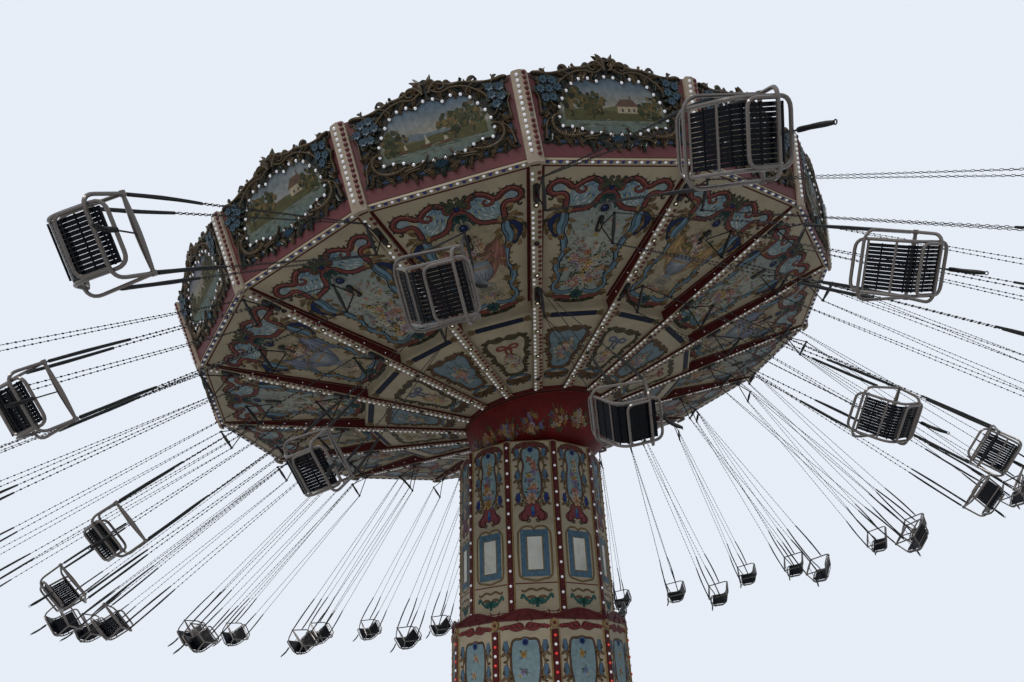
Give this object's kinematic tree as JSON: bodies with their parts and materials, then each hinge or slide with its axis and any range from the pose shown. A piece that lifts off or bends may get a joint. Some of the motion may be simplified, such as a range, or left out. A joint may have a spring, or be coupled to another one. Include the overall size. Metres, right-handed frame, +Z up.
{
  "type": "chair swing ride",
  "caption": "Fairground chair swing ride: a painted drum and tower carry a lifting, tilting, turning canopy with carved boards, from which rows of chairs fly on chains.",
  "frame": {"origin": "on the ground, on the vertical axis of the tower, at the underside of the base frame", "axes": "+Z up along the tower; -Y is the near side of the picture; +X is the side on which the tilted canopy is high"},
  "size_m": [20.4824, 20.6124, 10.6044],
  "materials": {
    "base_steel": "satin",
    "drum_paint": "satin",
    "crown_paint": "satin",
    "carriage_steel": "satin",
    "tower_paint": "satin",
    "head_steel": "satin",
    "collar_paint": "gloss",
    "rib_paint": "satin",
    "soffit_paint": "satin",
    "board_paint": "satin",
    "pilaster_paint": "satin",
    "roof_sheet": "matt",
    "chair_steel": "satin",
    "chain_steel": "satin",
    "sleeve_rubber": "satin",
    "seat_slats": "gloss",
    "lamp_glass": "gloss",
    "lamp_red": "gloss",
    "lamp_blue": "gloss",
    "gilt": "satin",
    "carving_paint": "satin",
    "art_paint": "satin",
    "mirror_glass": "polished"
  },
  "bodies": {
    "base": {"base_frame_and_mast": "base_steel", "drum_wall": "drum_paint", "drum_crown": "crown_paint"},
    "carriage": {"lift_carriage": "carriage_steel"},
    "tower": {"tower_shell": "tower_paint"},
    "head": {"tilt_head": "head_steel"},
    "canopy": {"collar": "collar_paint", "rib_frame": "rib_paint", "soffit": "soffit_paint", "rounding_boards": "board_paint", "corner_pilasters": "pilaster_paint", "roof": "roof_sheet"},
    "swing_outer_01": {"chair_outer_01": "chair_steel"},
    "swing_outer_02": {"chair_outer_02": "chair_steel"},
    "swing_outer_03": {"chair_outer_03": "chair_steel"},
    "swing_outer_04": {"chair_outer_04": "chair_steel"},
    "swing_outer_05": {"chair_outer_05": "chair_steel"},
    "swing_outer_06": {"chair_outer_06": "chair_steel"},
    "swing_outer_07": {"chair_outer_07": "chair_steel"},
    "swing_outer_08": {"chair_outer_08": "chair_steel"},
    "swing_outer_09": {"chair_outer_09": "chair_steel"},
    "swing_outer_10": {"chair_outer_10": "chair_steel"},
    "swing_outer_11": {"chair_outer_11": "chair_steel"},
    "swing_outer_12": {"chair_outer_12": "chair_steel"},
    "swing_outer_13": {"chair_outer_13": "chair_steel"},
    "swing_outer_14": {"chair_outer_14": "chair_steel"},
    "swing_outer_15": {"chair_outer_15": "chair_steel"},
    "swing_outer_16": {"chair_outer_16": "chair_steel"},
    "swing_middle_01": {"chair_middle_01": "chair_steel"},
    "swing_middle_02": {"chair_middle_02": "chair_steel"},
    "swing_middle_03": {"chair_middle_03": "chair_steel"},
    "swing_middle_04": {"chair_middle_04": "chair_steel"},
    "swing_middle_05": {"chair_middle_05": "chair_steel"},
    "swing_middle_06": {"chair_middle_06": "chair_steel"},
    "swing_middle_07": {"chair_middle_07": "chair_steel"},
    "swing_middle_08": {"chair_middle_08": "chair_steel"},
    "swing_middle_09": {"chair_middle_09": "chair_steel"},
    "swing_middle_10": {"chair_middle_10": "chair_steel"},
    "swing_middle_11": {"chair_middle_11": "chair_steel"},
    "swing_middle_12": {"chair_middle_12": "chair_steel"},
    "swing_middle_13": {"chair_middle_13": "chair_steel"},
    "swing_middle_14": {"chair_middle_14": "chair_steel"},
    "swing_middle_15": {"chair_middle_15": "chair_steel"},
    "swing_middle_16": {"chair_middle_16": "chair_steel"},
    "swing_inner_01": {"chair_inner_01": "chair_steel"},
    "swing_inner_02": {"chair_inner_02": "chair_steel"},
    "swing_inner_03": {"chair_inner_03": "chair_steel"},
    "swing_inner_04": {"chair_inner_04": "chair_steel"},
    "swing_inner_05": {"chair_inner_05": "chair_steel"},
    "swing_inner_06": {"chair_inner_06": "chair_steel"},
    "swing_inner_07": {"chair_inner_07": "chair_steel"},
    "swing_inner_08": {"chair_inner_08": "chair_steel"},
    "swing_inner_09": {"chair_inner_09": "chair_steel"},
    "swing_inner_10": {"chair_inner_10": "chair_steel"},
    "swing_inner_11": {"chair_inner_11": "chair_steel"},
    "swing_inner_12": {"chair_inner_12": "chair_steel"},
    "swing_inner_13": {"chair_inner_13": "chair_steel"},
    "swing_inner_14": {"chair_inner_14": "chair_steel"},
    "swing_inner_15": {"chair_inner_15": "chair_steel"},
    "swing_inner_16": {"chair_inner_16": "chair_steel"}
  },
  "joints": [
    {"name": "canopy_lift", "type": "slide", "parent": "base", "child": "carriage", "axis": [0, 0, 1], "range_m": [-1.8, 0]},
    {"name": "tower_turn", "type": "hinge", "parent": "carriage", "child": "tower", "pos_m": [0, 0, 5.4], "axis": [0, 0, 1], "continuous": true},
    {"name": "canopy_tilt", "type": "hinge", "parent": "carriage", "child": "head", "pos_m": [0, 0, 8.015], "axis": [0, 1, 0], "range_deg": [0, 8.83]},
    {"name": "canopy_turn", "type": "hinge", "parent": "head", "child": "canopy", "pos_m": [0, 0, 8.015], "axis": [-0.1533, 0, 0.9882], "continuous": true},
    {"name": "fly_outer_01", "type": "hinge", "parent": "canopy", "child": "swing_outer_01", "pos_m": [0.28213, -5.72515, 7.88573], "axis": [-0.9811, -0.1192, -0.1522], "range_deg": [-51.43, 6]},
    {"name": "fly_outer_02", "type": "hinge", "parent": "canopy", "child": "swing_outer_02", "pos_m": [-1.90236, -5.38845, 7.54677], "axis": [-0.9536, 0.2624, -0.148], "range_deg": [-54.87, 6.42]},
    {"name": "fly_outer_03", "type": "hinge", "parent": "canopy", "child": "swing_outer_03", "pos_m": [-3.79324, -4.23141, 7.25337], "axis": [-0.7948, 0.5942, -0.1233], "range_deg": [-57.95, 6.78]},
    {"name": "fly_outer_04", "type": "hinge", "parent": "canopy", "child": "swing_outer_04", "pos_m": [-5.10264, -2.43018, 7.0502], "axis": [-0.5353, 0.8406, -0.0831], "range_deg": [-60.3, 7.05]},
    {"name": "fly_outer_05", "type": "hinge", "parent": "canopy", "child": "swing_outer_05", "pos_m": [-5.63123, -0.25898, 6.96818], "axis": [-0.2108, 0.977, -0.0327], "range_deg": [-61.62, 7.21]},
    {"name": "fly_outer_06", "type": "hinge", "parent": "canopy", "child": "swing_outer_06", "pos_m": [-5.29851, 1.95166, 7.01981], "axis": [0.1388, 0.9901, 0.0215], "range_deg": [-61.74, 7.22]},
    {"name": "fly_outer_07", "type": "hinge", "parent": "canopy", "child": "swing_outer_07", "pos_m": [-4.15516, 3.86517, 7.19722], "axis": [0.4719, 0.8786, 0.0732], "range_deg": [-60.67, 7.09]},
    {"name": "fly_outer_08", "type": "hinge", "parent": "canopy", "child": "swing_outer_08", "pos_m": [-2.37522, 5.19024, 7.4734], "axis": [0.748, 0.6535, 0.1161], "range_deg": [-58.52, 6.84]},
    {"name": "fly_outer_09", "type": "hinge", "parent": "canopy", "child": "swing_outer_09", "pos_m": [-0.22969, 5.72515, 7.80631], "axis": [0.9304, 0.3368, 0.1444], "range_deg": [-55.55, 6.5]},
    {"name": "fly_outer_10", "type": "hinge", "parent": "canopy", "child": "swing_outer_10", "pos_m": [1.9548, 5.38845, 8.14527], "axis": [0.9875, -0.0379, 0.1532], "range_deg": [-52.16, 6.1]},
    {"name": "fly_outer_11", "type": "hinge", "parent": "canopy", "child": "swing_outer_11", "pos_m": [3.84568, 4.23141, 8.43867], "axis": [0.895, -0.4239, 0.1389], "range_deg": [-48.83, 5.71]},
    {"name": "fly_outer_12", "type": "hinge", "parent": "canopy", "child": "swing_outer_12", "pos_m": [5.15508, 2.43018, 8.64185], "axis": [0.6454, -0.7573, 0.1001], "range_deg": [-46.1, 5.4]},
    {"name": "fly_outer_13", "type": "hinge", "parent": "canopy", "child": "swing_outer_13", "pos_m": [5.68367, 0.25898, 8.72386], "axis": [0.2648, -0.9634, 0.0411], "range_deg": [-44.48, 5.21]},
    {"name": "fly_outer_14", "type": "hinge", "parent": "canopy", "child": "swing_outer_14", "pos_m": [5.35095, -1.95166, 8.67224], "axis": [-0.175, -0.9842, -0.0272], "range_deg": [-44.32, 5.19]},
    {"name": "fly_outer_15", "type": "hinge", "parent": "canopy", "child": "swing_outer_15", "pos_m": [4.2076, -3.86517, 8.49483], "axis": [-0.5753, -0.8131, -0.0893], "range_deg": [-45.66, 5.34]},
    {"name": "fly_outer_16", "type": "hinge", "parent": "canopy", "child": "swing_outer_16", "pos_m": [2.42766, -5.19024, 8.21864], "axis": [-0.8558, -0.5, -0.1328], "range_deg": [-48.2, 5.64]},
    {"name": "fly_middle_01", "type": "hinge", "parent": "canopy", "child": "swing_middle_01", "pos_m": [-0.71123, -4.95585, 7.67594], "axis": [-0.9835, 0.097, -0.1526], "range_deg": [-50.21, 5.88]},
    {"name": "fly_middle_02", "type": "hinge", "parent": "canopy", "child": "swing_middle_02", "pos_m": [-2.52855, -4.28975, 7.39395], "axis": [-0.8801, 0.4548, -0.1366], "range_deg": [-53.5, 6.26]},
    {"name": "fly_middle_03", "type": "hinge", "parent": "canopy", "child": "swing_middle_03", "pos_m": [-3.95564, -2.97058, 7.17252], "axis": [-0.6635, 0.7411, -0.103], "range_deg": [-56.22, 6.58]},
    {"name": "fly_middle_04", "type": "hinge", "parent": "canopy", "child": "swing_middle_04", "pos_m": [-4.77525, -1.19917, 7.04534], "axis": [-0.3673, 0.9284, -0.057], "range_deg": [-58.04, 6.79]},
    {"name": "fly_middle_05", "type": "hinge", "parent": "canopy", "child": "swing_middle_05", "pos_m": [-4.86259, 0.75481, 7.03179], "axis": [-0.0284, 0.9996, -0.0044], "range_deg": [-58.74, 6.87]},
    {"name": "fly_middle_06", "type": "hinge", "parent": "canopy", "child": "swing_middle_06", "pos_m": [-4.20437, 2.59388, 7.13392], "axis": [0.3137, 0.9483, 0.0487], "range_deg": [-58.23, 6.81]},
    {"name": "fly_middle_07", "type": "hinge", "parent": "canopy", "child": "swing_middle_07", "pos_m": [-2.9008, 4.03805, 7.33619], "axis": [0.6196, 0.779, 0.0961], "range_deg": [-56.59, 6.62]},
    {"name": "fly_middle_08", "type": "hinge", "parent": "canopy", "child": "swing_middle_08", "pos_m": [-1.15033, 4.86746, 7.6078], "axis": [0.8516, 0.5073, 0.1321], "range_deg": [-53.99, 6.32]},
    {"name": "fly_middle_09", "type": "hinge", "parent": "canopy", "child": "swing_middle_09", "pos_m": [0.78054, 4.95585, 7.90741], "axis": [0.9756, 0.1589, 0.1514], "range_deg": [-50.77, 5.94]},
    {"name": "fly_middle_10", "type": "hinge", "parent": "canopy", "child": "swing_middle_10", "pos_m": [2.59786, 4.28975, 8.18939], "axis": [0.9621, -0.2284, 0.1493], "range_deg": [-47.34, 5.54]},
    {"name": "fly_middle_11", "type": "hinge", "parent": "canopy", "child": "swing_middle_11", "pos_m": [4.02495, 2.97058, 8.41083], "axis": [0.7907, -0.5998, 0.1227], "range_deg": [-44.23, 5.18]},
    {"name": "fly_middle_12", "type": "hinge", "parent": "canopy", "child": "swing_middle_12", "pos_m": [4.84455, 1.19917, 8.538], "axis": [0.4658, -0.882, 0.0723], "range_deg": [-42, 4.92]},
    {"name": "fly_middle_13", "type": "hinge", "parent": "canopy", "child": "swing_middle_13", "pos_m": [4.9319, -0.75481, 8.55156], "axis": [0.0369, -0.9993, 0.0057], "range_deg": [-41.1, 4.81]},
    {"name": "fly_middle_14", "type": "hinge", "parent": "canopy", "child": "swing_middle_14", "pos_m": [4.27368, -2.59388, 8.44942], "axis": [-0.4006, -0.9141, -0.0622], "range_deg": [-41.75, 4.89]},
    {"name": "fly_middle_15", "type": "hinge", "parent": "canopy", "child": "swing_middle_15", "pos_m": [2.97011, -4.03805, 8.24715], "axis": [-0.7474, -0.6542, -0.116], "range_deg": [-43.8, 5.13]},
    {"name": "fly_middle_16", "type": "hinge", "parent": "canopy", "child": "swing_middle_16", "pos_m": [1.21964, -4.86746, 7.97554], "axis": [-0.9451, -0.292, -0.1466], "range_deg": [-46.8, 5.48]},
    {"name": "fly_inner_01", "type": "hinge", "parent": "canopy", "child": "swing_inner_01", "pos_m": [0.26242, -3.84007, 7.45664], "axis": [-0.988, -0.0206, -0.1533], "range_deg": [-44.25, 5.18]},
    {"name": "fly_inner_02", "type": "hinge", "parent": "canopy", "child": "swing_inner_02", "pos_m": [-1.2028, -3.61424, 7.22928], "axis": [-0.9256, 0.3502, -0.1436], "range_deg": [-47.63, 5.57]},
    {"name": "fly_inner_03", "type": "hinge", "parent": "canopy", "child": "swing_inner_03", "pos_m": [-2.47108, -2.83817, 7.03249], "axis": [-0.7433, 0.6589, -0.1153], "range_deg": [-50.57, 5.92]},
    {"name": "fly_inner_04", "type": "hinge", "parent": "canopy", "child": "swing_inner_04", "pos_m": [-3.34935, -1.63001, 6.89621], "axis": [-0.474, 0.8775, -0.0735], "range_deg": [-52.72, 6.17]},
    {"name": "fly_inner_05", "type": "hinge", "parent": "canopy", "child": "swing_inner_05", "pos_m": [-3.70389, -0.1737, 6.8412], "axis": [-0.152, 0.9881, -0.0236], "range_deg": [-53.82, 6.3]},
    {"name": "fly_inner_06", "type": "hinge", "parent": "canopy", "child": "swing_inner_06", "pos_m": [-3.48073, 1.30905, 6.87583], "axis": [0.1866, 0.982, 0.0289], "range_deg": [-53.76, 6.29]},
    {"name": "fly_inner_07", "type": "hinge", "parent": "canopy", "child": "swing_inner_07", "pos_m": [-2.71384, 2.59251, 6.99482], "axis": [0.5048, 0.8597, 0.0783], "range_deg": [-52.54, 6.15]},
    {"name": "fly_inner_08", "type": "hinge", "parent": "canopy", "child": "swing_inner_08", "pos_m": [-1.51997, 3.48129, 7.18007], "axis": [0.7667, 0.6309, 0.119], "range_deg": [-50.3, 5.89]},
    {"name": "fly_inner_09", "type": "hinge", "parent": "canopy", "child": "swing_inner_09", "pos_m": [-0.08088, 3.84007, 7.40337], "axis": [0.9381, 0.3143, 0.1456], "range_deg": [-47.29, 5.54]},
    {"name": "fly_inner_10", "type": "hinge", "parent": "canopy", "child": "swing_inner_10", "pos_m": [1.38434, 3.61424, 7.63072], "axis": [0.9863, -0.0609, 0.153], "range_deg": [-43.89, 5.14]},
    {"name": "fly_inner_11", "type": "hinge", "parent": "canopy", "child": "swing_inner_11", "pos_m": [2.65263, 2.83817, 7.82751], "axis": [0.8827, -0.4496, 0.137], "range_deg": [-40.58, 4.75]},
    {"name": "fly_inner_12", "type": "hinge", "parent": "canopy", "child": "swing_inner_12", "pos_m": [3.5309, 1.63001, 7.96379], "axis": [0.6137, -0.7838, 0.0952], "range_deg": [-37.92, 4.44]},
    {"name": "fly_inner_13", "type": "hinge", "parent": "canopy", "child": "swing_inner_13", "pos_m": [3.88544, 0.1737, 8.0188], "axis": [0.2064, -0.9779, 0.032], "range_deg": [-36.46, 4.27]},
    {"name": "fly_inner_14", "type": "hinge", "parent": "canopy", "child": "swing_inner_14", "pos_m": [3.66227, -1.30905, 7.98417], "axis": [-0.2527, -0.9667, -0.0392], "range_deg": [-36.55, 4.28]},
    {"name": "fly_inner_15", "type": "hinge", "parent": "canopy", "child": "swing_inner_15", "pos_m": [2.89538, -2.59251, 7.86518], "axis": [-0.6487, -0.7543, -0.1007], "range_deg": [-38.15, 4.47]},
    {"name": "fly_inner_16", "type": "hinge", "parent": "canopy", "child": "swing_inner_16", "pos_m": [1.70151, -3.48129, 7.67993], "axis": [-0.901, -0.4106, -0.1398], "range_deg": [-40.91, 4.79]}
  ],
  "couplings": [
    {"joint": "canopy_tilt", "follows": "canopy_lift", "rad_per_m": -0.085521},
    {"joint": "fly_outer_02", "follows": "fly_outer_01", "ratio": 1.0665},
    {"joint": "fly_outer_03", "follows": "fly_outer_01", "ratio": 1.1265},
    {"joint": "fly_outer_04", "follows": "fly_outer_01", "ratio": 1.1721},
    {"joint": "fly_outer_05", "follows": "fly_outer_01", "ratio": 1.1977},
    {"joint": "fly_outer_06", "follows": "fly_outer_01", "ratio": 1.2002},
    {"joint": "fly_outer_07", "follows": "fly_outer_01", "ratio": 1.1792},
    {"joint": "fly_outer_08", "follows": "fly_outer_01", "ratio": 1.1374},
    {"joint": "fly_outer_09", "follows": "fly_outer_01", "ratio": 1.0798},
    {"joint": "fly_outer_10", "follows": "fly_outer_01", "ratio": 1.0139},
    {"joint": "fly_outer_11", "follows": "fly_outer_01", "ratio": 0.94912},
    {"joint": "fly_outer_12", "follows": "fly_outer_01", "ratio": 0.89598},
    {"joint": "fly_outer_13", "follows": "fly_outer_01", "ratio": 0.8645},
    {"joint": "fly_outer_14", "follows": "fly_outer_01", "ratio": 0.86139},
    {"joint": "fly_outer_15", "follows": "fly_outer_01", "ratio": 0.88735},
    {"joint": "fly_outer_16", "follows": "fly_outer_01", "ratio": 0.93675},
    {"joint": "fly_middle_01", "follows": "fly_outer_01", "ratio": 0.97585},
    {"joint": "fly_middle_02", "follows": "fly_outer_01", "ratio": 1.0398},
    {"joint": "fly_middle_03", "follows": "fly_outer_01", "ratio": 1.0928},
    {"joint": "fly_middle_04", "follows": "fly_outer_01", "ratio": 1.1281},
    {"joint": "fly_middle_05", "follows": "fly_outer_01", "ratio": 1.1417},
    {"joint": "fly_middle_06", "follows": "fly_outer_01", "ratio": 1.1319},
    {"joint": "fly_middle_07", "follows": "fly_outer_01", "ratio": 1.0999},
    {"joint": "fly_middle_08", "follows": "fly_outer_01", "ratio": 1.0494},
    {"joint": "fly_middle_09", "follows": "fly_outer_01", "ratio": 0.98673},
    {"joint": "fly_middle_10", "follows": "fly_outer_01", "ratio": 0.92011},
    {"joint": "fly_middle_11", "follows": "fly_outer_01", "ratio": 0.8597},
    {"joint": "fly_middle_12", "follows": "fly_outer_01", "ratio": 0.81627},
    {"joint": "fly_middle_13", "follows": "fly_outer_01", "ratio": 0.79886},
    {"joint": "fly_middle_14", "follows": "fly_outer_01", "ratio": 0.81146},
    {"joint": "fly_middle_15", "follows": "fly_outer_01", "ratio": 0.85116},
    {"joint": "fly_middle_16", "follows": "fly_outer_01", "ratio": 0.90952},
    {"joint": "fly_inner_01", "follows": "fly_outer_01", "ratio": 0.85999},
    {"joint": "fly_inner_02", "follows": "fly_outer_01", "ratio": 0.92571},
    {"joint": "fly_inner_03", "follows": "fly_outer_01", "ratio": 0.98294},
    {"joint": "fly_inner_04", "follows": "fly_outer_01", "ratio": 1.0247},
    {"joint": "fly_inner_05", "follows": "fly_outer_01", "ratio": 1.0461},
    {"joint": "fly_inner_06", "follows": "fly_outer_01", "ratio": 1.0449},
    {"joint": "fly_inner_07", "follows": "fly_outer_01", "ratio": 1.0212},
    {"joint": "fly_inner_08", "follows": "fly_outer_01", "ratio": 0.97766},
    {"joint": "fly_inner_09", "follows": "fly_outer_01", "ratio": 0.91919},
    {"joint": "fly_inner_10", "follows": "fly_outer_01", "ratio": 0.85308},
    {"joint": "fly_inner_11", "follows": "fly_outer_01", "ratio": 0.78872},
    {"joint": "fly_inner_12", "follows": "fly_outer_01", "ratio": 0.73702},
    {"joint": "fly_inner_13", "follows": "fly_outer_01", "ratio": 0.70858},
    {"joint": "fly_inner_14", "follows": "fly_outer_01", "ratio": 0.71019},
    {"joint": "fly_inner_15", "follows": "fly_outer_01", "ratio": 0.74144},
    {"joint": "fly_inner_16", "follows": "fly_outer_01", "ratio": 0.79497}
  ]
}
